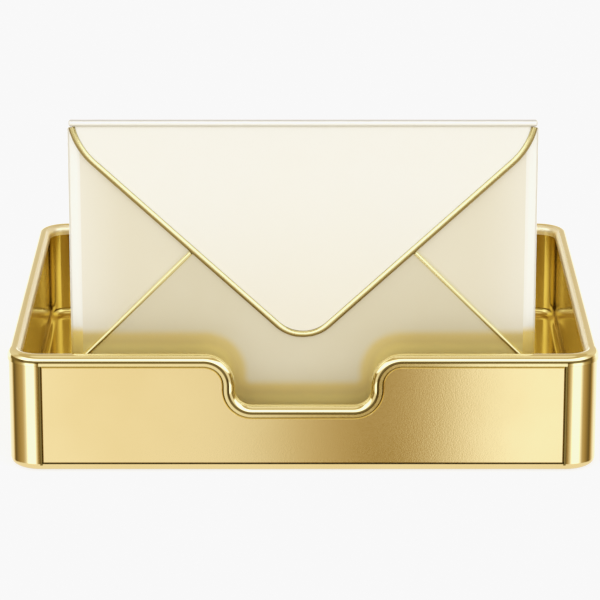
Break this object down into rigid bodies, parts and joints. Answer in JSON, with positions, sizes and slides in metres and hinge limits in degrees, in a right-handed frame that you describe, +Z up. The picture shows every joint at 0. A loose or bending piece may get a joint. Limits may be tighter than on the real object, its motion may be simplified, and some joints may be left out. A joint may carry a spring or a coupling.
{
  "type": "letter tray with envelope pocket",
  "caption": "Brass letter tray with rounded corners, bead rim and scooped front, holding an upright envelope-shaped letter pocket whose V flap turns back on a hinge.",
  "frame": {"origin": "centre of the tray's plan, on the surface that it stands on", "axes": "+X across the tray to the right seen from the front, +Y from the scooped front wall to the rear wall, +Z up"},
  "size_m": [0.318, 0.264, 0.19],
  "materials": {
    "polished_brass": "polished, lacquered",
    "satin_brass": "fine brushed satin",
    "pan_brass": "polished",
    "champagne": "fine blasted and champagne anodised",
    "bead_brass": "polished",
    "hinge_steel": "ground",
    "base_sheet": "fine textured black",
    "foot_rubber": "matt",
    "felt": "wool felt"
  },
  "bodies": {
    "tray": {"outer_shell": "polished_brass", "inner_pan": "pan_brass", "rim_bead": "polished_brass", "front_panel": "satin_brass", "base_plate": "base_sheet", "foot_front_left": "foot_rubber", "foot_front_right": "foot_rubber", "foot_rear_left": "foot_rubber", "foot_rear_right": "foot_rubber", "envelope_rail": "polished_brass", "rail_pad": "felt"},
    "envelope": {"edge_frame": "champagne", "back_panel": "champagne", "left_side_flap": "champagne", "right_side_flap": "champagne", "bottom_flap": "champagne", "left_seam_bead": "bead_brass", "right_seam_bead": "bead_brass", "hinge_rod": "hinge_steel"},
    "flap": {"top_flap": "champagne", "flap_bead": "bead_brass"}
  },
  "joints": [
    {"name": "envelope_lift", "type": "slide", "parent": "tray", "child": "envelope", "axis": [0, 0, 1], "range_m": [0, 0.08]},
    {"name": "flap_hinge", "type": "hinge", "parent": "envelope", "child": "flap", "pos_m": [0, -0.09745, 0.1836], "axis": [-1, 0, 0], "range_deg": [0, 180]}
  ]
}
